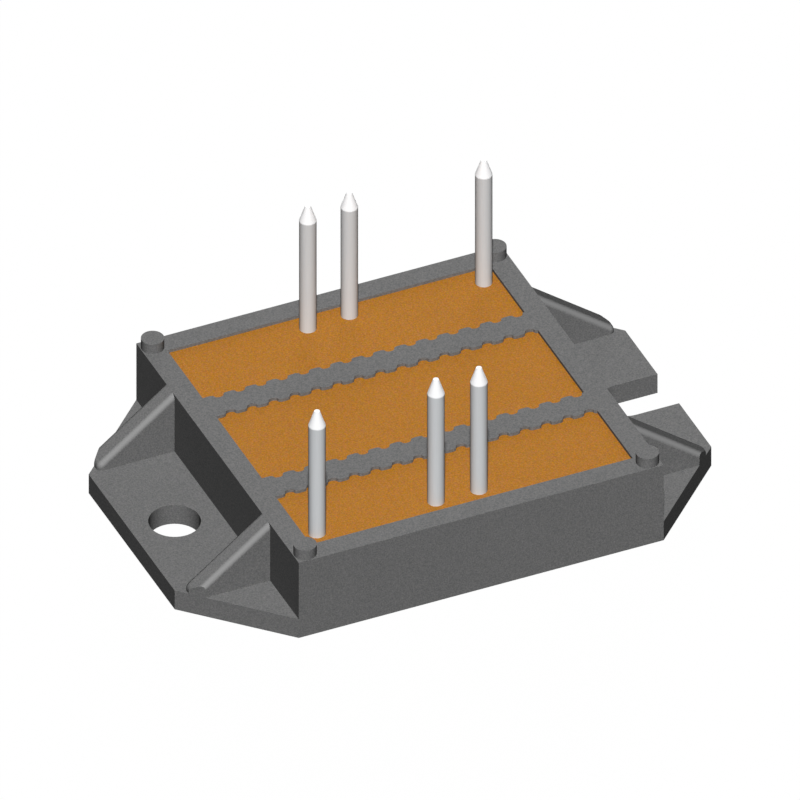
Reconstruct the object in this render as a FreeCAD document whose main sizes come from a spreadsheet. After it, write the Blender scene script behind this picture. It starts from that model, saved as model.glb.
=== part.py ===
"""Bridge rectifier: a potted six-pin power module, in millimetres.

The origin is the middle of the square body on the mounting face, with +Z up the pins
and +X towards the flange with the open slot.
"""
import FreeCAD, Part
import math
import os
import Sketcher

Vector = FreeCAD.Vector
Z_AXIS = Vector(0, 0, 1)

doc = FreeCAD.newDocument("BridgeRectifier")

# Driving dimensions
DIMENSIONS = (
    # Housing
    ("body_side", 34.0),
    ("body_height", 8.0),
    ("frame_wall", 2.0),
    ("overall_length", 50.0),
    ("flange_thickness", 2.0),
    ("flange_end_width", 18.0),
    ("screw_inset", 4.0),
    ("screw_hole", 4.5),
    ("rib_thickness", 2.0),
    ("rib_gap", 18.0),
    ("rib_nose_inset", 0.9),
    ("rib_nose_height", 0.5),
    ("rib_nose_round", 0.6),
    ("rib_round", 0.5),
    ("peg_diameter", 2.0),
    ("peg_height", 1.0),
    ("peg_margin", 0.05),
    # Scalloped cross bars
    ("bar_width", 2.85),
    ("bar_depth", 3.0),
    ("bar_spacing", 12.4),
    ("notch_pitch", 1.99),
    ("notch_depth", 0.45),
    ("notch_width", 0.86),
    ("notch_floor_width", 0.8),
    ("notch_floor_sag", 0.14),
    ("tooth_corner_run", 0.28),
    ("tooth_corner_drop", 0.19),
    ("tooth_lip_run", 0.21),
    ("tooth_lip_drop", 0.07),
    ("first_notch_inset", 1.43),
    # Potting
    ("potting_drop", 0.3),
    # Substrate and its seat
    ("seat_ledge", 1.0),
    ("seat_clearance", 0.2),
    ("bead_thickness", 0.12),
    ("ceramic_thickness", 0.63),
    ("copper_thickness", 0.3),
    ("copper_margin", 1.0),
    ("track_gap", 0.9),
    ("base_copper_corner", 0.6),
    ("back_split_share", 0.155),
    ("front_split_share", 0.19),
    # Diode chips and their ribbons
    ("die_side", 5.4),
    ("die_thickness", 0.3),
    ("solder_thickness", 0.1),
    ("solder_margin", 0.2),
    ("near_die_share", 0.154),
    ("far_die_share", 0.189),
    ("ribbon_width", 1.6),
    ("ribbon_pitch", 2.4),
    ("ribbon_thickness", 0.2),
    ("ribbon_foot", 1.1),
    ("ribbon_rise_run", 0.8),
    ("ribbon_lift", 1.4),
    ("ribbon_landing", 0.6),
    # Pins
    ("pin_diameter", 1.5),
    ("pin_free_length", 13.0),
    ("pin_cone_length", 1.5),
    ("pin_tip_diameter", 0.5),
    ("pin_wall_gap", 1.6),
    ("back_middle_pin_gap", 1.3),
    ("back_corner_pin_gap", 1.75),
    ("corner_pin_inset", 1.3),
    ("pair_pitch", 4.0),
    ("pair_shift", 0.62),
    ("leg_width", 1.2),
    ("leg_thickness", 0.8),
    ("leg_joggle", 0.9),
    ("leg_drop", 1.5),
    ("leg_foot_length", 1.6),
)

sheet = doc.addObject("Spreadsheet::Sheet", "Size")
for line, (alias, size) in enumerate(DIMENSIONS, start=1):
    sheet.set(f"A{line}", alias)
    sheet.set(f"B{line}", str(size))
    sheet.setAlias(f"B{line}", alias)
doc.recompute()

# Sizes and levels that follow from the driving ones
SIDE = "Size.body_side"
TOP = "Size.body_height"
OPENING = "(Size.body_side - 2*Size.frame_wall)"
SEAT = f"({OPENING} + 2*Size.seat_ledge)"
CERAMIC = f"({SEAT} - 2*Size.seat_clearance)"
COPPER = f"({CERAMIC} - 2*Size.copper_margin)"
CERAMIC_TOP = "(Size.copper_thickness + Size.ceramic_thickness)"
TRACK_TOP = f"({CERAMIC_TOP} + Size.copper_thickness)"
SEAT_TOP = f"({CERAMIC_TOP} + Size.bead_thickness)"
SOLDER_TOP = f"({TRACK_TOP} + Size.solder_thickness)"
DIE_TOP = f"({SOLDER_TOP} + Size.die_thickness)"
POTTING_TOP = "(Size.body_height - Size.potting_drop)"

# How far an outline that cuts runs past the part, in millimetres
PAST = "1"
# Smallest length that counts as one, in millimetres
TINY = 1e-6


def number(expression):
    """Value of an expression over the driving dimensions."""
    return float(sheet.evalExpression(expression))


# Sketches
def sketch_on(body, name, role="XY_Plane", level="0"):
    """Empty sketch on one of the body's own planes, lifted off it by level."""
    plane = next(item for item in body.Origin.OriginFeatures if item.Role == role)
    sketch = body.newObject("Sketcher::SketchObject", name)
    sketch.AttachmentSupport = [(plane, "")]
    sketch.MapMode = "FlatFace"
    sketch.setExpression("AttachmentOffset.Base.z", level)
    return sketch


def bind(sketch, kind, value, *where):
    """Adds a dimension to a sketch and ties it to an expression."""
    index = sketch.addConstraint(Sketcher.Constraint(kind, *where, number(value)))
    sketch.setExpression(f"Constraints[{index}]", value)


def fix(sketch, geometry, point, x, y):
    """Places one point of a sketch from its origin."""
    bind(sketch, "DistanceX", x, -1, 1, geometry, point)
    bind(sketch, "DistanceY", y, -1, 1, geometry, point)


def add_circle(sketch, x, y, diameter):
    circle = Part.Circle(Vector(number(x), number(y), 0), Z_AXIS, number(diameter) / 2)
    index = sketch.addGeometry(circle, False)
    fix(sketch, index, 3, x, y)
    bind(sketch, "Diameter", diameter, index)


def arc_between(start, end, radius, turn):
    """Arc of less than a half turn, anticlockwise for turn 1 and clockwise for -1."""
    chord = end - start
    middle = (start + end) / 2
    left = Vector(-chord.y, chord.x, 0).normalize()
    height = math.sqrt(max(radius**2 - (chord.Length / 2) ** 2, 0))
    centre = middle + left * height * turn
    return Part.Arc(start, centre - left * radius * turn, end)


def add_path(sketch, nodes, closed=True):
    """Chain of lines and arcs through nodes (x, y, radius, turn) or (x, y) for a line."""
    points = [Vector(number(node[0]), number(node[1]), 0) for node in nodes]
    ends = []
    for k, node in enumerate(nodes if closed else nodes[:-1]):
        start = points[k]
        end = points[(k + 1) % len(points)]
        if len(node) == 2:
            index = sketch.addGeometry(Part.LineSegment(start, end), False)
        else:
            index = sketch.addGeometry(arc_between(start, end, number(node[2]), node[3]), False)
        to_first, to_second = [(sketch.getPoint(index, point) - start).Length for point in (1, 2)]
        ends.append((index, 1, 2) if to_first < to_second else (index, 2, 1))
    for k, (index, first, _) in enumerate(ends):
        if closed or k > 0:
            before, _, last = ends[k - 1]
            sketch.addConstraint(Sketcher.Constraint("Coincident", before, last, index, first))
        fix(sketch, index, first, nodes[k][0], nodes[k][1])
        if len(nodes[k]) > 2:
            bind(sketch, "Radius", nodes[k][2], index)
    if not closed:
        index, _, last = ends[-1]
        fix(sketch, index, last, nodes[-1][0], nodes[-1][1])


def add_rectangle(sketch, left, right, front, back):
    add_path(sketch, [(left, front), (right, front), (right, back), (left, back)])


def add_square(sketch, side):
    add_rectangle(sketch, f"-{side}/2", f"{side}/2", f"-{side}/2", f"{side}/2")


# Features
def new_body(label):
    body = doc.addObject("PartDesign::Body", label)
    body.Label = label
    return body


def pad(body, name, sketch, length):
    """Raises a sketch along its normal and fuses it with the body."""
    feature = body.newObject("PartDesign::Pad", name)
    feature.Profile = sketch
    feature.setExpression("Length", length)
    doc.recompute()
    return feature


def pocket(body, name, sketch, depth=None, upwards=False):
    """Cuts a sketch out of the body, right through it if no depth is given."""
    before = body.Shape.Volume
    feature = body.newObject("PartDesign::Pocket", name)
    feature.Profile = sketch
    if depth is None:
        feature.Type = "ThroughAll"
    else:
        feature.setExpression("Length", depth)
    feature.Reversed = upwards
    doc.recompute()
    if not feature.Shape.Volume < before:
        raise ValueError(f"{name} cuts nothing")
    return feature


def mirror(body, name, features, role):
    plane = next(item for item in body.Origin.OriginFeatures if item.Role == role)
    feature = body.newObject("PartDesign::Mirrored", name)
    feature.Originals = features
    feature.MirrorPlane = (plane, [""])
    body.Tip = feature
    doc.recompute()
    return feature


def row(body, name, features, pitch, count):
    """Repeats features along +X."""
    axis = next(item for item in body.Origin.OriginFeatures if item.Role == "X_Axis")
    feature = body.newObject("PartDesign::LinearPattern", name)
    feature.Originals = features
    feature.Direction = (axis, [""])
    feature.Mode = "Spacing"
    feature.setExpression("Offset", pitch)
    feature.setExpression("Occurrences", count)
    body.Tip = feature
    doc.recompute()
    return feature


def round_edges(body, name, base, chosen, radius):
    """Fillets the edges of a feature that the given test picks."""
    names = [f"Edge{k}" for k, edge in enumerate(base.Shape.Edges, start=1) if chosen(edge)]
    if not names:
        raise ValueError(f"{name} finds no edge")
    feature = body.newObject("PartDesign::Fillet", name)
    feature.Base = (base, names)
    feature.setExpression("Radius", radius)
    doc.recompute()
    return feature


def place(body, x, y, turn):
    """Turns a body made at the origin about Z and moves it to its place."""
    body.setExpression("Placement.Base.x", x)
    body.setExpression("Placement.Base.y", y)
    body.Placement.Rotation = FreeCAD.Rotation(Z_AXIS, turn)


# Housing
def slopes(edge):
    """Tells the sloping edges of the ribs, which run in X and Z at once."""
    if len(edge.Vertexes) < 2:
        return False
    run = edge.Vertexes[1].Point - edge.Vertexes[0].Point
    return abs(run.y) < TINY and abs(run.x) > TINY and abs(run.z) > TINY


def add_ribs(housing):
    """Four gussets from the top of the frame down to the flanges."""
    sketch = sketch_on(housing, "rib_profile", "XZ_Plane", "Size.rib_gap/2")
    wall = f"{SIDE}/2"
    root = f"({wall} - Size.frame_wall/2)"
    sunk = "Size.flange_thickness/2"
    nose = "(Size.overall_length/2 - Size.rib_nose_inset)"
    nose_top = "(Size.flange_thickness + Size.rib_nose_height)"
    slope = f"(({TOP} - {nose_top})/({nose} - {wall}))"
    slant = f"sqrt(1 + {slope}^2)"
    cut = f"Size.rib_nose_round*({slant} - {slope})"
    for side, turn in (("", 1), ("-", -1)):
        add_path(sketch, [
            (f"{side}{root}", sunk),
            (f"{side}{nose}", sunk),
            (f"{side}{nose}", f"{nose_top} - {cut}", "Size.rib_nose_round", turn),
            (f"{side}({nose} - {cut}/{slant})", f"{nose_top} + {cut}*{slope}/{slant}"),
            (f"{side}{wall}", TOP),
            (f"{side}{root}", TOP),
        ])
    ribs = pad(housing, "front_ribs", sketch, "Size.rib_thickness")
    return mirror(housing, "back_ribs", [ribs], "XZ_Plane")


def cut_flange_corners(housing):
    """Cuts the flanges, with the rib ends over them, to 45 degrees at the four corners."""
    sketch = sketch_on(housing, "corner_outlines")
    end = "Size.overall_length/2"
    narrow = "Size.flange_end_width/2"
    wide = f"{SIDE}/2"
    for x_side in ("", "-"):
        for y_side in ("", "-"):
            corners = [(f"{x_side}{end}", f"{y_side}{narrow}"),
                       (f"{x_side}({end} + {PAST})", f"{y_side}{narrow}"),
                       (f"{x_side}({end} + {PAST})", f"{y_side}({wide} + {PAST})"),
                       (f"{x_side}{wide}", f"{y_side}({wide} + {PAST})"),
                       (f"{x_side}{wide}", f"{y_side}{wide}")]
            add_path(sketch, corners if x_side == y_side else corners[::-1])
    return pocket(housing, "flange_corners", sketch, upwards=True)


def add_screw_openings(housing):
    """Round hole in the left flange, and a slot of the same width open to the right flange's end."""
    radius = "Size.screw_hole/2"
    centre = "(Size.overall_length/2 - Size.screw_inset)"
    end = f"(Size.overall_length/2 + {PAST})"
    sketch = sketch_on(housing, "screw_openings_outline")
    add_circle(sketch, f"-{centre}", "0", "Size.screw_hole")
    add_path(sketch, [(centre, radius, radius, 1), (f"{centre} - {radius}", "0", radius, 1),
                      (centre, f"-{radius}"), (end, f"-{radius}"), (end, radius)])
    pocket(housing, "screw_openings", sketch, "Size.flange_thickness", upwards=True)


def add_bars(housing):
    """Two cross bars, flush with the top, with a row of round notches in every edge."""
    sketch = sketch_on(housing, "bar_outlines", level=f"{TOP} - Size.bar_depth")
    reach = f"({OPENING}/2 + Size.frame_wall/2)"
    inner = "(Size.bar_spacing - Size.bar_width)/2"
    outer = "(Size.bar_spacing + Size.bar_width)/2"
    add_rectangle(sketch, f"-{reach}", reach, inner, outer)
    add_rectangle(sketch, f"-{reach}", reach, f"-{outer}", f"-{inner}")
    pad(housing, "bars", sketch, "Size.bar_depth")

    notches = sketch_on(housing, "notch_outlines", level=TOP)
    middle = f"(-{OPENING}/2 + Size.first_notch_inset)"
    flank = "Size.notch_width/2"
    mouth = f"({flank} + Size.tooth_corner_run)"
    lip = f"({mouth} - Size.tooth_lip_run)"
    floor_end = "Size.notch_floor_width/2"
    sag = "Size.notch_floor_sag"
    floor_radius = f"(({floor_end})^2 + {sag}^2)/(2*{sag})"
    edges = ((outer, "-", 1), (inner, "+", -1), (f"-{inner}", "-", 1), (f"-{outer}", "+", -1))
    for edge, inwards, turn in edges:
        outwards = "+" if inwards == "-" else "-"
        past = f"{edge} {outwards} Size.notch_depth"
        lip_level = f"{edge} {inwards} Size.tooth_lip_drop"
        corner_level = f"{edge} {inwards} Size.tooth_corner_drop"
        floor_level = f"{edge} {inwards} (Size.notch_depth - {sag})"
        add_path(notches, [
            (f"{middle} - {mouth}", edge),
            (f"{middle} - {lip}", lip_level),
            (f"{middle} - {flank}", corner_level),
            (f"{middle} - {floor_end}", floor_level, floor_radius, turn),
            (f"{middle} + {floor_end}", floor_level),
            (f"{middle} + {flank}", corner_level),
            (f"{middle} + {lip}", lip_level),
            (f"{middle} + {mouth}", edge),
            (f"{middle} + {mouth}", past),
            (f"{middle} - {mouth}", past),
        ])
    first = pocket(housing, "first_notches", notches, "Size.bar_depth")
    count = f"floor(({OPENING} - Size.first_notch_inset - {mouth})/Size.notch_pitch) + 1"
    return row(housing, "notch_rows", [first], "Size.notch_pitch", count)


def make_housing():
    """One moulding: frame, flanges, ribs, pegs, bars and the seat for the substrate."""
    housing = new_body("housing")
    flange = sketch_on(housing, "flange_outline")
    half_length = "Size.overall_length/2"
    add_rectangle(flange, f"-{half_length}", half_length, f"-{SIDE}/2", f"{SIDE}/2")
    pad(housing, "flanges", flange, "Size.flange_thickness")

    block = sketch_on(housing, "block_outline")
    add_square(block, SIDE)
    pad(housing, "block", block, TOP)

    ribs = add_ribs(housing)
    round_edges(housing, "rib_rounds", ribs, slopes, "Size.rib_round")
    cut_flange_corners(housing)
    add_screw_openings(housing)

    pegs = sketch_on(housing, "peg_outlines", level=TOP)
    centre = f"({SIDE}/2 - Size.peg_diameter/2 - Size.peg_margin)"
    for x_side in ("", "-"):
        for y_side in ("", "-"):
            add_circle(pegs, f"{x_side}{centre}", f"{y_side}{centre}", "Size.peg_diameter")
    pad(housing, "pegs", pegs, "Size.peg_height")

    opening = sketch_on(housing, "opening_outline", level=TOP)
    add_square(opening, OPENING)
    pocket(housing, "opening", opening)

    seat = sketch_on(housing, "seat_outline")
    add_square(seat, SEAT)
    pocket(housing, "substrate_seat", seat, SEAT_TOP, upwards=True)

    add_bars(housing)
    return housing


# Substrate
def upright(edge):
    """Tells the edges of a plate that run in Z."""
    return abs(edge.Vertexes[1].Z - edge.Vertexes[0].Z) > TINY


def make_plate(label, left, right, front, back, bottom, thickness, corner=None):
    """Flat plate between the given sides, with its upright edges rounded if corner is given."""
    body = new_body(label)
    sketch = sketch_on(body, f"{label}_outline", level=bottom)
    add_rectangle(sketch, left, right, front, back)
    plate = pad(body, f"{label}_plate", sketch, thickness)
    if corner:
        round_edges(body, f"{label}_corners", plate, upright, corner)
    return body


def make_substrate():
    """Copper-faced ceramic plate: the base copper, the ceramic and four tracks on top."""
    half = f"{COPPER}/2"
    gap = "Size.track_gap/2"
    split_back = f"Size.back_split_share*{COPPER}"
    split_front = f"-Size.front_split_share*{COPPER}"
    make_plate("base_copper", f"-{half}", half, f"-{half}", half, "0", "Size.copper_thickness",
               "Size.base_copper_corner")
    make_plate("ceramic_plate", f"-{CERAMIC}/2", f"{CERAMIC}/2", f"-{CERAMIC}/2", f"{CERAMIC}/2",
               "Size.copper_thickness", "Size.ceramic_thickness")
    tracks = {
        "track_plus": (f"-{half}", f"{split_back} - {gap}", gap, half),
        "track_ac_right": (f"{split_back} + {gap}", half, gap, half),
        "track_ac_left": (f"-{half}", f"{split_front} - {gap}", f"-{half}", f"-{gap}"),
        "track_minus": (f"{split_front} + {gap}", half, f"-{half}", f"-{gap}"),
    }
    return [make_plate(label, *sides, CERAMIC_TOP, "Size.copper_thickness")
            for label, sides in tracks.items()]


def make_adhesive():
    """Bead between the ceramic plate and its seat: a flat rim with a skirt down the side gap."""
    body = new_body("sealing_adhesive")
    skirt = sketch_on(body, "skirt_outline", level="Size.copper_thickness")
    add_square(skirt, SEAT)
    pad(body, "skirt", skirt, f"{SEAT_TOP} - Size.copper_thickness")
    hollow = sketch_on(body, "ceramic_outline", level="Size.copper_thickness")
    add_square(hollow, CERAMIC)
    pocket(body, "ceramic_space", hollow, "Size.ceramic_thickness", upwards=True)
    window = sketch_on(body, "window_outline", level=SEAT_TOP)
    add_square(window, OPENING)
    pocket(body, "window", window)
    return body


# Diodes
def make_diode(index, x, y, away, turn):
    """Chip, its solder and its two ribbons, which run along away and land on the next track.

    The pieces are made at the origin with the ribbons along +X, then turned and placed.
    """
    side = "Size.die_side"
    solder = make_plate(f"die_solder_{index}", f"-{side}/2 - Size.solder_margin",
                        f"{side}/2 + Size.solder_margin", f"-{side}/2 - Size.solder_margin",
                        f"{side}/2 + Size.solder_margin", TRACK_TOP, "Size.solder_thickness")
    die = make_plate(f"die_{index}", f"-{side}/2", f"{side}/2", f"-{side}/2", f"{side}/2",
                     SOLDER_TOP, "Size.die_thickness")
    ribbons = make_ribbons(f"ribbon_{index}", away)
    for body in (solder, die, ribbons):
        place(body, x, y, turn)
    return [solder, die, ribbons]


def make_ribbons(label, reach):
    """Two flat ribbons with a foot on the chip, an arch and a foot on the track reach away."""
    body = new_body(label)
    body.AllowCompound = True
    sketch = sketch_on(body, f"{label}_profile", "XZ_Plane", "(Size.ribbon_pitch - Size.ribbon_width)/2")
    foot = "Size.ribbon_foot"
    rise = "Size.ribbon_rise_run"
    thick = "Size.ribbon_thickness"
    crest = f"({DIE_TOP} + Size.ribbon_lift)"
    lower = [(f"-{foot}/2", DIE_TOP), (f"{foot}/2", DIE_TOP),
             (f"{foot}/2 + {rise}", crest), (f"{reach} - {foot}/2 - {rise}", crest),
             (f"{reach} - {foot}/2", TRACK_TOP), (f"{reach} + {foot}/2", TRACK_TOP)]
    upper = [(x, f"{y} + {thick}") for x, y in lower]
    add_path(sketch, lower + upper[::-1])
    first = pad(body, f"{label}_first", sketch, "Size.ribbon_width")
    mirror(body, f"{label}_second", [first], "XZ_Plane")
    return body


def make_diodes():
    """Four diodes in a ring, each on the track of its cathode.

    The chips whose ribbons cross to the side stand beside the track gap, and the chip on
    the track that the ribbons reach stands clear of their landing.
    """
    near = f"Size.near_die_share*{COPPER}"
    far = f"Size.far_die_share*{COPPER}"
    reach = f"({near} + Size.track_gap/2 + Size.ribbon_landing + Size.ribbon_foot/2)"
    split_back = f"Size.back_split_share*{COPPER}"
    split_front = f"Size.front_split_share*{COPPER}"
    pieces = []
    pieces += make_diode(1, f"({split_back} - {near})", near, reach, 0)
    pieces += make_diode(2, f"(-{split_front} - {near})", near, reach, -90)
    pieces += make_diode(3, f"({split_back} + {far})", near, reach, -90)
    pieces += make_diode(4, f"(-{split_front} - {near})", f"-{far}", reach, 0)
    return pieces


# Pins
def make_pin(label, x, y, turn):
    """Round pin with a conical tip, and below the potting's face a flat leg that is bent inwards.

    The leg steps in by the joggle, which takes up strain, and ends in a foot on the track.
    """
    body = new_body(label)
    radius = "Size.pin_diameter/2"
    tip = f"({POTTING_TOP} + Size.pin_free_length)"
    profile = sketch_on(body, f"{label}_profile", "XZ_Plane")
    add_path(profile, [("0", POTTING_TOP), (radius, POTTING_TOP),
                       (radius, f"{tip} - Size.pin_cone_length"),
                       ("Size.pin_tip_diameter/2", tip), ("0", tip)])
    shank = body.newObject("PartDesign::Revolution", f"{label}_shank")
    shank.Profile = profile
    shank.ReferenceAxis = (profile, ["V_Axis"])
    shank.Angle = 360
    doc.recompute()

    side = sketch_on(body, f"{label}_leg_side", "YZ_Plane", "-Size.leg_width/2")
    half = "Size.leg_thickness/2"
    joggle = "Size.leg_joggle"
    step_top = f"({POTTING_TOP} - Size.leg_drop)"
    step_bottom = f"({step_top} - {joggle})"
    foot_top = f"({SOLDER_TOP} + Size.leg_thickness)"
    foot_end = f"-{joggle} - {half} - Size.leg_foot_length"
    add_path(side, [
        (f"-{half}", POTTING_TOP),
        (f"-{half}", step_top),
        (f"-{joggle} - {half}", step_bottom),
        (f"-{joggle} - {half}", foot_top),
        (foot_end, foot_top),
        (foot_end, SOLDER_TOP),
        (f"-{joggle} + {half}", SOLDER_TOP),
        (f"-{joggle} + {half}", step_bottom),
        (half, step_top),
        (half, POTTING_TOP),
    ])
    pad(body, f"{label}_leg", side, "Size.leg_width")
    place(body, x, y, turn)
    return body


def make_pin_solder(label, x, y, turn):
    """Solder layer under the foot of a pin."""
    half_width = "(Size.leg_width/2 + Size.solder_margin)"
    heel = "-Size.leg_joggle + Size.leg_thickness/2 + Size.solder_margin"
    toe = "-Size.leg_joggle - Size.leg_thickness/2 - Size.leg_foot_length - Size.solder_margin"
    body = make_plate(label, f"-{half_width}", half_width, toe, heel, TRACK_TOP, "Size.solder_thickness")
    place(body, x, y, turn)
    return body


def make_pins():
    """Two rows of three pins along the frame, with their solder layers.

    The legs point inwards from the frame, diagonally at the two corner pins.
    """
    pin_row = f"({OPENING}/2 - Size.pin_wall_gap)"
    middle_row = f"({OPENING}/2 - Size.back_middle_pin_gap)"
    corner_row = f"({OPENING}/2 - Size.back_corner_pin_gap)"
    corner = f"({OPENING}/2 - Size.corner_pin_inset)"
    pair_left = "(-Size.pair_shift - Size.pair_pitch/2)"
    pair_right = "(-Size.pair_shift + Size.pair_pitch/2)"
    places = {
        "back_left": (pair_left, pin_row, 0),
        "back_middle": (pair_right, middle_row, 0),
        "back_right": (corner, corner_row, -45),
        "front_left": (f"-{corner}", f"-{pin_row}", 135),
        "front_middle": (pair_left, f"-{pin_row}", 180),
        "front_right": (pair_right, f"-{pin_row}", 180),
    }
    pieces = []
    for spot, (x, y, turn) in places.items():
        pieces.append(make_pin(f"pin_{spot}", x, y, turn))
        pieces.append(make_pin_solder(f"pin_solder_{spot}", x, y, turn))
    return pieces


# Potting
def make_potting(housing, covered):
    """Compound poured over the substrate up to just under the rim, round everything it covers."""
    fill = doc.addObject("Part::Box", "potting_fill")
    fill.setExpression("Length", OPENING)
    fill.setExpression("Width", OPENING)
    fill.setExpression("Height", f"{POTTING_TOP} - {CERAMIC_TOP}")
    fill.setExpression("Placement.Base.x", f"-{OPENING}/2")
    fill.setExpression("Placement.Base.y", f"-{OPENING}/2")
    fill.setExpression("Placement.Base.z", CERAMIC_TOP)
    displaced = doc.addObject("Part::MultiFuse", "displaced")
    displaced.Shapes = [housing] + covered
    potting = doc.addObject("Part::Cut", "potting_compound")
    potting.Label = "potting_compound"
    potting.Base = fill
    potting.Tool = displaced
    return potting


def check(pieces):
    """Stops before anything is written if an object failed or a piece isn't a sound solid."""
    for item in doc.Objects:
        if any(state in ("Invalid", "Error") for state in item.State):
            raise RuntimeError(f"{item.Name} failed: {item.State}")
    for piece in pieces:
        shape = piece.Shape
        if shape.isNull() or not shape.isValid() or not shape.Solids:
            raise RuntimeError(f"{piece.Label} is not a sound solid")


def main():
    housing = make_housing()
    tracks = make_substrate()
    adhesive = make_adhesive()
    diodes = make_diodes()
    pins = make_pins()
    doc.recompute()
    base = [doc.getObject("base_copper"), doc.getObject("ceramic_plate")]
    potting = make_potting(housing, tracks + diodes + pins)
    doc.recompute()
    pieces = [housing, potting, adhesive] + base + tracks + diodes + pins
    check(pieces)
    os.makedirs("parts", exist_ok=True)
    for piece in pieces:
        piece.Shape.exportStep(f"parts/{piece.Label}.step")


main()
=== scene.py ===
"""Bridge rectifier: finishes, floor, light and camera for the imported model.

The file is laid out as an add-on and is run as a script. Each operator dresses one group of
pieces or makes the stage, and the panel in the 3D view's sidebar lists them. Lengths are in metres.
"""
import math

import bpy
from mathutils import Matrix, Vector


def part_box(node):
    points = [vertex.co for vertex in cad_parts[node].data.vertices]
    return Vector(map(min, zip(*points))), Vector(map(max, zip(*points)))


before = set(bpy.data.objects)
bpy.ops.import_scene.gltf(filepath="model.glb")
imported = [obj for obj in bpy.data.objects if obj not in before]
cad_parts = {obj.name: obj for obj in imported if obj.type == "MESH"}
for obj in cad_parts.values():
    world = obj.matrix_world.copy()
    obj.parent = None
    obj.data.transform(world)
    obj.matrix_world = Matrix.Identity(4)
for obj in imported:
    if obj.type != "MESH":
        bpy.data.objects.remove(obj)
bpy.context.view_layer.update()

bl_info = {
    "name": "Bridge Rectifier",
    "version": (1, 0, 0),
    "blender": (4, 5, 0),
    "location": "3D View > Sidebar > Rectifier",
    "description": "Finishes, floor, light and camera for a potted bridge rectifier module",
    "category": "Object",
}

MM = 0.001
WHITE = (1.0, 1.0, 1.0, 1.0)
# Nearly all values of a noise texture lie between these two
NOISE_LOW = 0.3
NOISE_HIGH = 0.7


# Settings
def colour(name, description, default):
    return bpy.props.FloatVectorProperty(name=name, description=description, default=default,
                                         subtype="COLOR", size=3, min=0.0, max=1.0)


def grey(name, description, tone):
    return colour(name, description, (tone, tone, tone))


def length(name, description, default):
    return bpy.props.FloatProperty(name=name, description=description, default=default,
                                   unit="LENGTH", min=0.0, precision=6)


def angle(name, description, degrees):
    return bpy.props.FloatProperty(name=name, description=description, default=math.radians(degrees),
                                   subtype="ANGLE")


def amount(name, description, default):
    return bpy.props.FloatProperty(name=name, description=description, default=default, min=0.0)


class RectifierColours(bpy.types.PropertyGroup):
    """Colours of the finishes."""
    housing: grey("Housing", "Dark grey moulded plastic", 0.2545)
    # Painted highlight: lighter tone on the ridges' rounded front edges, where the light glances off them
    ridge_highlight: grey("Ridges", "Lighter tone where the rounded ridges are rubbed", 0.356)
    potting: colour("Potting", "Orange-brown potting compound", (0.369, 0.150, 0.0194))
    pin: colour("Pins", "Tin plating on the solder pins", (0.925, 0.95, 0.97))
    # Partly painted highlight: the coined tips' brighter tin also stands in for the highlight on the cones
    tip_tin_and_highlight: colour("Pin tips", "Brighter tin on the coined tips", (0.97, 0.97, 0.98))
    copper: colour("Copper", "Bare copper of the base and the tracks", (0.72, 0.34, 0.20))
    tarnish: colour("Tarnish", "Darker patches on the copper", (0.42, 0.18, 0.10))
    ceramic: colour("Ceramic", "White insulating plate", (0.80, 0.79, 0.76))
    silicon: colour("Silicon", "Dark sides and rim of the diode chips", (0.045, 0.045, 0.06))
    chip_metal: colour("Chip metal", "Bright metal on top of the diode chips", (0.76, 0.76, 0.78))
    solder: colour("Solder", "Dull solder under chips and pins", (0.55, 0.55, 0.57))
    ribbon: colour("Ribbons", "Soft aluminium ribbons", (0.82, 0.82, 0.84))
    adhesive: colour("Adhesive", "Grey silicone bead round the ceramic", (0.55, 0.55, 0.53))


class RectifierGrain(bpy.types.PropertyGroup):
    """Sizes of the grain, marks and clouds in the finishes."""
    plastic: length("Plastic grain", "Size of the eroded grain on the moulding", 0.13 * MM)
    potting: length("Filler grain", "Size of the mineral filler seen in the potting", 0.13 * MM)
    powder: length("Powder grain", "Size of the grain in ceramic, solder and adhesive", 0.10 * MM)
    drawn: length("Drawing marks", "Width of the marks that drawing and rolling leave on metal", 0.09 * MM)
    run: length("Mark length", "Length of the drawing and rolling marks", 3.0 * MM)
    cloud: length("Clouds", "Size of the faint broad unevenness of colour", 6.0 * MM)
    tip: length("Coined tip", "Length of the cone at the end of each pin", 1.5 * MM)


class RectifierStudio(bpy.types.PropertyGroup):
    """View, lights and floor."""
    view_azimuth: angle("View azimuth", "Turn of the view from the front, to the left", 24.006)
    view_elevation: angle("View elevation", "Height of the view over the floor", 36.998)
    view_width: length("View width", "Width that the parallel view takes in", 68.09 * MM)
    view_distance: length("View distance", "Distance of the camera, which a parallel view doesn't show", 0.4)
    aim_height: length("Aim height", "Height over the floor of the picture's middle", 8.452 * MM)
    main_azimuth: angle("Main azimuth", "Turn of the main light from the front, to the left", 24.2)
    main_elevation: angle("Main elevation", "Height of the main light over the floor", 55.0)
    main_size: angle("Main size", "Angle that the main light fills", 2.0)
    main_strength: amount("Main strength", "Strength of the main light", 3.94)
    back_azimuth: angle("Back azimuth", "Turn of the back light from the front, to the left", 208.0)
    back_elevation: angle("Back elevation", "Height of the back light over the floor", 7.0)
    back_size: angle("Back size", "Angle that the back light fills", 25.0)
    back_strength: amount("Back strength", "Strength of the back light", 1.4)
    fill: amount("Fill", "Light from all round", 0.025)
    floor_colour: grey("Floor", "Pale floor, as it is seen", 0.90)
    floor_bounce: grey("Floor bounce", "Floor as it throws light back on the object", 0.04)
    floor_glow: amount("Floor glow", "Share of plain white in the floor as it is seen", 0.94)
    floor_reach: length("Floor reach", "Half the side of the floor", 0.8)
    floor_gap: length("Floor gap", "Gap between the floor and the object's base", 0.02 * MM)


def settings():
    scene = bpy.context.scene
    return scene.rectifier_colours, scene.rectifier_grain


def opaque(rgb):
    return (*rgb, 1.0)


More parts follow.
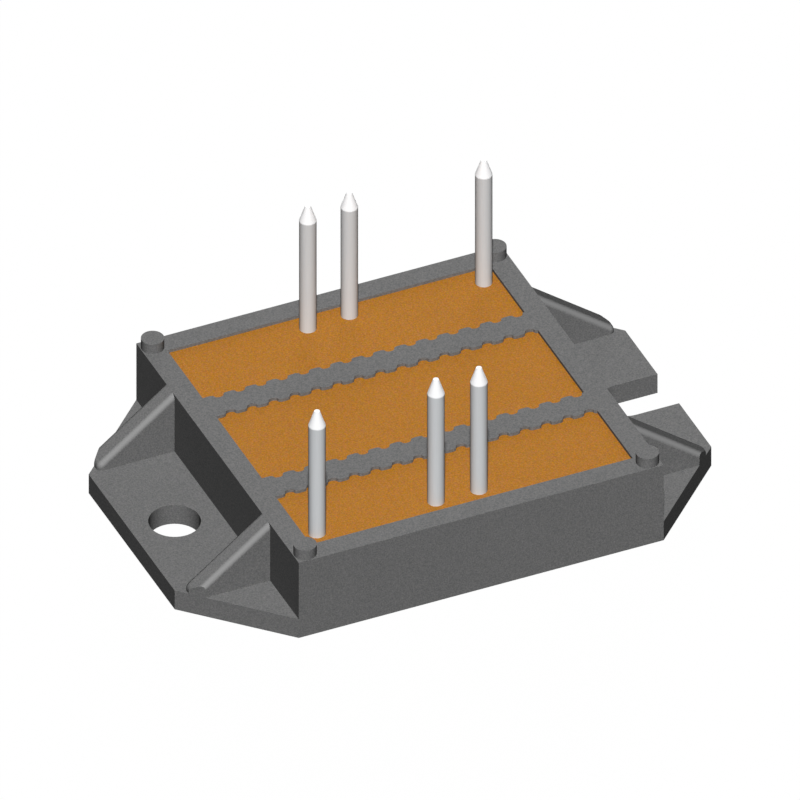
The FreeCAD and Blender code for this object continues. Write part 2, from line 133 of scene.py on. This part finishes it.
# Nodes
def connect(tree, socket, value):
    """Links a value that a node puts out, or sets a plain one."""
    if isinstance(value, bpy.types.NodeSocket):
        tree.links.new(value, socket)
    else:
        socket.default_value = value


def add_node(tree, kind, inputs=None, **attributes):
    """New node with its attributes, and with each named or numbered input linked or set."""
    made = tree.nodes.new(kind)
    for name, value in attributes.items():
        setattr(made, name, value)
    for name, value in (inputs or {}).items():
        connect(tree, made.inputs[name], value)
    return made


def calculate(tree, operation, *values):
    return add_node(tree, "ShaderNodeMath", dict(enumerate(values)), operation=operation).outputs[0]


def combine(tree, operation, *values):
    """Calculation with vectors or colours, part by part."""
    return add_node(tree, "ShaderNodeVectorMath", dict(enumerate(values)), operation=operation).outputs[0]


def remap(tree, value, start, end, low=0.0, high=1.0):
    """Runs from low to high while a value goes from start to end, and stays there beyond."""
    return add_node(tree, "ShaderNodeMapRange", {"Value": value, "From Min": start, "From Max": end,
                                                 "To Min": low, "To Max": high}).outputs[0]


def spread(tree, grain, low, high):
    """Runs from low to high over the usual range of a noise."""
    return remap(tree, grain, NOISE_LOW, NOISE_HIGH, low, high)


def swing(tree, value, amplitude):
    """Turns a value from 0 to 1 into a factor that swings round 1."""
    centred = calculate(tree, "SUBTRACT", value, 0.5)
    return calculate(tree, "MULTIPLY_ADD", centred, amplitude, 1.0)


def tint(tree, base, factor):
    """Colour made lighter or darker by a factor."""
    return add_node(tree, "ShaderNodeVectorMath", {0: base, "Scale": factor}, operation="SCALE").outputs[0]


def blend_colours(tree, factor, first, second):
    made = add_node(tree, "ShaderNodeMix", {"Factor": factor, 6: first, 7: second}, data_type="RGBA")
    return made.outputs[2]


def bump_from(tree, height, depth):
    return add_node(tree, "ShaderNodeBump", {"Height": height, "Strength": 1.0, "Distance": depth}).outputs[0]


def coordinates(tree, kind):
    """Object, Generated or Normal coordinates of the surface."""
    return add_node(tree, "ShaderNodeTexCoord").outputs[kind]


def split(tree, vector):
    return add_node(tree, "ShaderNodeSeparateXYZ", {0: vector}).outputs


def noise(tree, place, scale, detail, roughness):
    return add_node(tree, "ShaderNodeTexNoise", {"Vector": place, "Scale": scale, "Detail": detail,
                                                 "Roughness": roughness}).outputs


# Effects that finishes share
def new_group(name, inputs, outputs):
    """Shader group with its sockets, and the sockets inside it that give and take their values."""
    group = bpy.data.node_groups.new(name, "ShaderNodeTree")
    for label, kind, default in inputs:
        socket = group.interface.new_socket(name=label, in_out="INPUT", socket_type=kind)
        socket.default_value = default
    for label, kind in outputs:
        group.interface.new_socket(name=label, in_out="OUTPUT", socket_type=kind)
    return group, group.nodes.new("NodeGroupInput").outputs, group.nodes.new("NodeGroupOutput").inputs


def close_group(group, taken, **results):
    for name, value in results.items():
        group.links.new(value, taken[name])
    return group


def make_speckle():
    """Fine grain, specks of other hues and faint broad clouds over a colour."""
    group, given, taken = new_group("Speckle", [
        ("Colour", "NodeSocketColor", (0.5, 0.5, 0.5, 1.0)),
        ("Grain", "NodeSocketFloat", 0.1 * MM),
        ("Speckle", "NodeSocketFloat", 0.1),
        ("Hues", "NodeSocketFloat", 0.0),
        ("Cloud size", "NodeSocketFloat", 6.0 * MM),
        ("Clouds", "NodeSocketFloat", 0.05),
    ], [("Colour", "NodeSocketColor"), ("Grain", "NodeSocketFloat"), ("Cloud", "NodeSocketFloat")])
    place = coordinates(group, "Object")
    fine = noise(group, place, calculate(group, "DIVIDE", 1.0, given["Grain"]), detail=2.0, roughness=0.6)
    broad = noise(group, place, calculate(group, "DIVIDE", 1.0, given["Cloud size"]), detail=3.0,
                  roughness=0.5)["Fac"]
    factor = calculate(group, "MULTIPLY", swing(group, fine["Fac"], given["Speckle"]),
                       swing(group, broad, given["Clouds"]))
    strays = combine(group, "SUBTRACT", fine["Color"], (0.5, 0.5, 0.5))
    hued = combine(group, "MULTIPLY_ADD", strays, given["Hues"], given["Colour"])
    return close_group(group, taken, Colour=tint(group, hued, factor), Grain=fine["Fac"], Cloud=broad)


def make_drawn_marks():
    """Long fine marks along one direction over a colour."""
    group, given, taken = new_group("Drawn Marks", [
        ("Colour", "NodeSocketColor", (0.5, 0.5, 0.5, 1.0)),
        ("Marks per metre", "NodeSocketVector", (9000.0, 9000.0, 300.0)),
        ("Contrast", "NodeSocketFloat", 0.1),
    ], [("Colour", "NodeSocketColor"), ("Marks", "NodeSocketFloat")])
    stretched = combine(group, "MULTIPLY", coordinates(group, "Object"), given["Marks per metre"])
    marks = noise(group, stretched, 1.0, detail=3.0, roughness=0.65)["Fac"]
    factor = swing(group, marks, given["Contrast"])
    return close_group(group, taken, Colour=tint(group, given["Colour"], factor), Marks=marks)


def make_chip_top():
    """Masks for the top of a square chip: its metal field and the ring trench round it."""
    group, given, taken = new_group("Chip Top", [
        ("Field edge", "NodeSocketFloat", 0.40),
        ("Ring edge", "NodeSocketFloat", 0.445),
        ("Ring width", "NodeSocketFloat", 0.012),
        ("Corner", "NodeSocketFloat", 0.03),
    ], [("Field", "NodeSocketFloat"), ("Ring", "NodeSocketFloat")])
    spot = split(group, coordinates(group, "Generated"))
    across, along = [calculate(group, "ABSOLUTE", calculate(group, "SUBTRACT", spot[k], 0.5)) for k in (0, 1)]
    reach = calculate(group, "SMOOTH_MAX", across, along, given["Corner"])
    upwards = calculate(group, "GREATER_THAN", split(group, coordinates(group, "Normal"))[2], 0.5)
    inside = calculate(group, "LESS_THAN", reach, given["Field edge"])
    ring = calculate(group, "COMPARE", reach, given["Ring edge"], given["Ring width"])
    return close_group(group, taken, Field=calculate(group, "MULTIPLY", inside, upwards),
                       Ring=calculate(group, "MULTIPLY", ring, upwards))


GROUP_MAKERS = {"Speckle": make_speckle, "Drawn Marks": make_drawn_marks, "Chip Top": make_chip_top}


def use_group(tree, name, **inputs):
    """Places a shared effect in a material, made on its first use. An underscore stands for a space."""
    group = bpy.data.node_groups.get(name) or GROUP_MAKERS[name]()
    values = {key.replace("_", " "): value for key, value in inputs.items()}
    return add_node(tree, "ShaderNodeGroup", values, node_tree=group).outputs


# Finishes
def new_material(name, metallic=0.0, specular=0.5):
    """Material with one Principled shader, which is returned with its tree."""
    material = bpy.data.materials.new(name)
    material.use_nodes = True
    tree = material.node_tree
    tree.nodes.clear()
    shader = add_node(tree, "ShaderNodeBsdfPrincipled",
                      {"Metallic": metallic, "Specular IOR Level": specular})
    add_node(tree, "ShaderNodeOutputMaterial", {"Surface": shader.outputs[0]})
    return material, tree, shader


def add_film(shader, tone, roughness):
    """Thin smoky film over the surface, which takes more light where it is seen at a slant."""
    for name, value in (("Coat Weight", 1.0), ("Coat IOR", 1.0), ("Coat Roughness", roughness),
                        ("Coat Tint", (tone, tone, tone, 1.0))):
        shader.inputs[name].default_value = value


def feed(tree, shader, **results):
    """Links what nodes put out to the shader's sockets. An underscore stands for a space."""
    for name, value in results.items():
        tree.links.new(value, shader.inputs[name.replace("_", " ")])


def painted_highlight_mask(tree):
    """Mask of what faces up and to the front at once, which the ridges' rounded front edges do, where a
    highlight is painted.
    """
    facing = split(tree, coordinates(tree, "Normal"))
    lean = calculate(tree, "MULTIPLY", facing[1], facing[2])
    return remap(tree, lean, start=-0.05, end=-0.40)


def moulded_plastic():
    """Matt filled plastic with the grain of an eroded mould, and a painted highlight on the ridges' rounded
    front edges.
    """
    colours, grain = settings()
    material, tree, shader = new_material("Moulded plastic", specular=0.03)
    add_film(shader, tone=0.74, roughness=0.8)
    plastic = use_group(tree, "Speckle", Colour=opaque(colours.housing), Grain=grain.plastic, Speckle=1.1,
                        Hues=0.03, Cloud_size=grain.cloud, Clouds=0.06)
    # Painted highlight blended over the grain on the ridges' rounded front edges
    grain_and_highlight = blend_colours(tree, painted_highlight_mask(tree), plastic["Colour"], opaque(colours.ridge_highlight))
    feed(tree, shader, Base_Color=grain_and_highlight, Roughness=spread(tree, plastic["Grain"], low=0.75, high=0.85),
         Normal=bump_from(tree, plastic["Grain"], depth=0.006 * MM))
    return material


def potting_compound():
    """Filled epoxy with a slight gloss and its filler showing as fine specks."""
    colours, grain = settings()
    material, tree, shader = new_material("Potting compound", specular=0.2)
    filling = use_group(tree, "Speckle", Colour=opaque(colours.potting), Grain=grain.potting, Speckle=1.1,
                        Hues=0.13, Cloud_size=grain.cloud, Clouds=0.05)
    feed(tree, shader, Base_Color=filling["Colour"],
         Roughness=spread(tree, filling["Grain"], low=0.48, high=0.6),
         Normal=bump_from(tree, filling["Cloud"], depth=0.05 * MM))
    return material


def tip_mask(tree, tip_length, blur):
    """Mask of the cones at the pins' ends, which all start at one height."""
    cone_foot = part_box("pin_front_left")[1][2] - tip_length
    height = split(tree, coordinates(tree, "Object"))[2]
    return remap(tree, height, cone_foot - blur, cone_foot + blur)


def tinned_pin():
    """Matt tin over drawn wire, brighter where the tip is coined, partly its own finish and partly a painted
    highlight.
    """
    colours, grain = settings()
    material, tree, shader = new_material("Tinned pin", metallic=0.03, specular=0.1)
    add_film(shader, tone=0.78, roughness=0.5)
    across = 1.0 / grain.drawn
    marks = use_group(tree, "Drawn Marks", Colour=opaque(colours.pin),
                      Marks_per_metre=(across, across, 1.0 / grain.run), Contrast=0.12)
    # The tips get brighter tin and no film, partly their own finish and partly a painted highlight
    coined = tip_mask(tree, grain.tip, grain.drawn)
    tin = blend_colours(tree, coined, marks["Colour"], opaque(colours.tip_tin_and_highlight))
    feed(tree, shader, Base_Color=tin, Roughness=spread(tree, marks["Marks"], low=0.40, high=0.52),
         Coat_Weight=calculate(tree, "SUBTRACT", 1.0, coined),
         Normal=bump_from(tree, marks["Marks"], depth=0.002 * MM))
    return material


def bare_copper():
    """Rolled copper with darker tarnish."""
    colours, grain = settings()
    material, tree, shader = new_material("Bare copper", metallic=1.0)
    across = 1.0 / grain.drawn
    marks = use_group(tree, "Drawn Marks", Colour=opaque(colours.copper),
                      Marks_per_metre=(1.0 / grain.run, across, across), Contrast=0.2)
    patches = use_group(tree, "Speckle", Colour=opaque(colours.tarnish), Grain=grain.powder, Speckle=0.2,
                        Cloud_size=grain.cloud, Clouds=0.2)
    tarnished = spread(tree, patches["Cloud"], low=0.0, high=0.6)
    feed(tree, shader, Base_Color=blend_colours(tree, tarnished, marks["Colour"], patches["Colour"]),
         Roughness=spread(tree, marks["Marks"], low=0.28, high=0.5),
         Normal=bump_from(tree, marks["Marks"], depth=0.002 * MM))
    return material


def powdery(name, rgb, low, high, metallic=0.0):
    """Dull grainy finish of fired ceramic, solder or silicone, with its roughness from low to high."""
    _, grain = settings()
    material, tree, shader = new_material(name, metallic=metallic)
    grains = use_group(tree, "Speckle", Colour=opaque(rgb), Grain=grain.powder, Speckle=0.2,
                       Cloud_size=grain.cloud, Clouds=0.1)
    feed(tree, shader, Base_Color=grains["Colour"], Roughness=spread(tree, grains["Grain"], low, high),
         Normal=bump_from(tree, grains["Grain"], depth=0.004 * MM))
    return material


def diode_chip():
    """Silicon chip with a bright metal field inside a ring trench."""
    colours, grain = settings()
    material, tree, shader = new_material("Diode chip")
    top = use_group(tree, "Chip Top")
    field = use_group(tree, "Speckle", Colour=opaque(colours.chip_metal), Grain=grain.powder, Speckle=0.16,
                      Cloud_size=grain.cloud, Clouds=0.05)
    silicon = use_group(tree, "Speckle", Colour=opaque(colours.silicon), Grain=grain.powder, Speckle=0.3,
                        Cloud_size=grain.cloud, Clouds=0.2)
    metal = calculate(tree, "MAXIMUM", top["Field"], top["Ring"])
    feed(tree, shader, Base_Color=blend_colours(tree, metal, silicon["Colour"], field["Colour"]),
         Metallic=metal, Roughness=spread(tree, field["Grain"], low=0.22, high=0.42),
         Normal=bump_from(tree, metal, depth=0.003 * MM))
    return material


def aluminium_ribbon():
    """Soft rolled aluminium."""
    colours, grain = settings()
    material, tree, shader = new_material("Aluminium ribbon", metallic=1.0)
    across = 1.0 / grain.drawn
    marks = use_group(tree, "Drawn Marks", Colour=opaque(colours.ribbon),
                      Marks_per_metre=(1.0 / grain.run, across, across), Contrast=0.14)
    feed(tree, shader, Base_Color=marks["Colour"],
         Roughness=spread(tree, marks["Marks"], low=0.25, high=0.45),
         Normal=bump_from(tree, marks["Marks"], depth=0.002 * MM))
    return material


def dress(material, *starts):
    """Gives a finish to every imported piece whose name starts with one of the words."""
    found = [item for name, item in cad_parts.items() if name.startswith(starts)]
    if not found:
        raise RuntimeError(f"no piece is named {starts}")
    for item in found:
        item.data.materials.clear()
        item.data.materials.append(material)


# Stage
def direction(azimuth, elevation):
    """Unit vector from the object to a place turned from the front to the left, and raised."""
    level = math.cos(elevation)
    return Vector((-math.sin(azimuth) * level, -math.cos(azimuth) * level, math.sin(elevation)))


def seen_rays(tree):
    """1 for what the camera sees, directly, mirrored or through glass, and 0 for light on the object."""
    path = add_node(tree, "ShaderNodeLightPath").outputs
    indirect = calculate(tree, "MAXIMUM", path["Is Glossy Ray"], path["Is Transmission Ray"])
    return calculate(tree, "MAXIMUM", path["Is Camera Ray"], indirect)


def pale_floor(studio):
    """Floor that is seen as nearly white, keeps the object's shadow and throws little light back."""
    material = bpy.data.materials.new("Pale floor")
    material.use_nodes = True
    tree = material.node_tree
    tree.nodes.clear()
    seen = seen_rays(tree)
    tone = blend_colours(tree, seen, opaque(studio.floor_bounce), opaque(studio.floor_colour))
    lit = add_node(tree, "ShaderNodeBsdfDiffuse", {"Color": tone}).outputs[0]
    white = add_node(tree, "ShaderNodeEmission", {"Color": WHITE, "Strength": 1.0}).outputs[0]
    share = calculate(tree, "MULTIPLY", seen, studio.floor_glow)
    mixed = add_node(tree, "ShaderNodeMixShader", {0: share, 1: lit, 2: white}).outputs[0]
    add_node(tree, "ShaderNodeOutputMaterial", {"Surface": mixed})
    return material


def add_floor(studio):
    """Square floor under the object."""
    reach = studio.floor_reach
    level = -studio.floor_gap
    mesh = bpy.data.meshes.new("floor")
    mesh.from_pydata([(-reach, -reach, level), (reach, -reach, level), (reach, reach, level),
                      (-reach, reach, level)], [], [(0, 1, 2, 3)])
    floor = bpy.data.objects.new("floor", mesh)
    bpy.context.scene.collection.objects.link(floor)
    mesh.materials.append(pale_floor(studio))


def add_lamp(name, azimuth, elevation, size, strength):
    """Even light from one direction."""
    light = bpy.data.lights.new(name, "SUN")
    light.energy = strength
    light.angle = size
    lamp = bpy.data.objects.new(name, light)
    lamp.rotation_mode = "QUATERNION"
    lamp.rotation_quaternion = direction(azimuth, elevation).to_track_quat("Z", "Y")
    bpy.context.scene.collection.objects.link(lamp)
    return lamp


def add_lights(studio):
    """Main light over the camera, where the pins hide their own shadows, and a broad weak one behind."""
    add_lamp("main_light", studio.main_azimuth, studio.main_elevation, studio.main_size, studio.main_strength)
    back = add_lamp("back_light", studio.back_azimuth, studio.back_elevation, studio.back_size,
                    studio.back_strength)
    back.visible_glossy = False


def add_surroundings(studio):
    """World that is seen as white and gives a weak light from all round."""
    world = bpy.data.worlds.new("Studio")
    world.use_nodes = True
    tree = world.node_tree
    tree.nodes.clear()
    strength = remap(tree, seen_rays(tree), 0.0, 1.0, low=studio.fill, high=1.0)
    sky = add_node(tree, "ShaderNodeBackground", {"Color": WHITE, "Strength": strength})
    add_node(tree, "ShaderNodeOutputWorld", {"Surface": sky.outputs[0]})
    bpy.context.scene.world = world


def add_camera(studio):
    """Parallel view from the front left, as the photograph has it."""
    data = bpy.data.cameras.new("camera")
    data.type = "ORTHO"
    data.ortho_scale = studio.view_width
    data.clip_start = 1.0 * MM
    data.clip_end = 10.0
    camera = bpy.data.objects.new("camera", data)
    back = direction(studio.view_azimuth, studio.view_elevation)
    camera.location = Vector((0.0, 0.0, studio.aim_height)) + back * studio.view_distance
    camera.rotation_mode = "QUATERNION"
    camera.rotation_quaternion = (-back).to_track_quat("-Z", "Y")
    bpy.context.scene.collection.objects.link(camera)
    bpy.context.scene.camera = camera


# Operators
class RECTIFIER_OT_housing(bpy.types.Operator):
    """Dress the moulded housing."""
    bl_idname = "rectifier.housing"
    bl_label = "Housing"

    def execute(self, context):
        dress(moulded_plastic(), "housing")
        return {"FINISHED"}


class RECTIFIER_OT_potting(bpy.types.Operator):
    """Dress the potting compound."""
    bl_idname = "rectifier.potting"
    bl_label = "Potting"

    def execute(self, context):
        dress(potting_compound(), "potting_compound")
        return {"FINISHED"}


class RECTIFIER_OT_pins(bpy.types.Operator):
    """Dress the six solder pins."""
    bl_idname = "rectifier.pins"
    bl_label = "Pins"

    def execute(self, context):
        dress(tinned_pin(), "pin_back", "pin_front")
        return {"FINISHED"}


class RECTIFIER_OT_substrate(bpy.types.Operator):
    """Dress the copper-faced ceramic plate and its adhesive bead."""
    bl_idname = "rectifier.substrate"
    bl_label = "Substrate"

    def execute(self, context):
        colours, _ = settings()
        dress(bare_copper(), "base_copper", "track_")
        dress(powdery("Fired ceramic", colours.ceramic, low=0.45, high=0.6), "ceramic_plate")
        dress(powdery("Silicone bead", colours.adhesive, low=0.5, high=0.7), "sealing_adhesive")
        return {"FINISHED"}


class RECTIFIER_OT_diodes(bpy.types.Operator):
    """Dress the diode chips, their ribbons and all solder."""
    bl_idname = "rectifier.diodes"
    bl_label = "Diodes"

    def execute(self, context):
        colours, _ = settings()
        dress(powdery("Dull solder", colours.solder, low=0.4, high=0.6, metallic=1.0),
              "die_solder", "pin_solder")
        dress(diode_chip(), "die_1", "die_2", "die_3", "die_4")
        dress(aluminium_ribbon(), "ribbon_")
        return {"FINISHED"}


class RECTIFIER_OT_stage(bpy.types.Operator):
    """Make the floor, the lights, the surroundings and the camera."""
    bl_idname = "rectifier.stage"
    bl_label = "Stage"

    def execute(self, context):
        studio = context.scene.rectifier_studio
        add_floor(studio)
        add_lights(studio)
        add_surroundings(studio)
        add_camera(studio)
        context.scene.view_settings.view_transform = "Standard"
        return {"FINISHED"}


OPERATORS = (
    RECTIFIER_OT_housing,
    RECTIFIER_OT_potting,
    RECTIFIER_OT_pins,
    RECTIFIER_OT_substrate,
    RECTIFIER_OT_diodes,
    RECTIFIER_OT_stage,
)


class RECTIFIER_PT_panel(bpy.types.Panel):
    """Lists the operators and the settings in the 3D view's sidebar."""
    bl_idname = "RECTIFIER_PT_panel"
    bl_label = "Bridge Rectifier"
    bl_space_type = "VIEW_3D"
    bl_region_type = "UI"
    bl_category = "Rectifier"

    def draw(self, context):
        for operator in OPERATORS:
            self.layout.operator(operator.bl_idname)
        for group in (context.scene.rectifier_colours, context.scene.rectifier_grain,
                      context.scene.rectifier_studio):
            box = self.layout.box()
            for name in group.bl_rna.properties.keys():
                if name not in ("rna_type", "name"):
                    box.prop(group, name)


CLASSES = (RectifierColours, RectifierGrain, RectifierStudio) + OPERATORS + (RECTIFIER_PT_panel,)


def register():
    for item in CLASSES:
        bpy.utils.register_class(item)
    bpy.types.Scene.rectifier_colours = bpy.props.PointerProperty(type=RectifierColours)
    bpy.types.Scene.rectifier_grain = bpy.props.PointerProperty(type=RectifierGrain)
    bpy.types.Scene.rectifier_studio = bpy.props.PointerProperty(type=RectifierStudio)


def unregister():
    del bpy.types.Scene.rectifier_studio
    del bpy.types.Scene.rectifier_grain
    del bpy.types.Scene.rectifier_colours
    for item in reversed(CLASSES):
        bpy.utils.unregister_class(item)


def main():
    register()
    bpy.ops.rectifier.housing()
    bpy.ops.rectifier.potting()
    bpy.ops.rectifier.pins()
    bpy.ops.rectifier.substrate()
    bpy.ops.rectifier.diodes()
    bpy.ops.rectifier.stage()


if __name__ == "__main__":
    main()
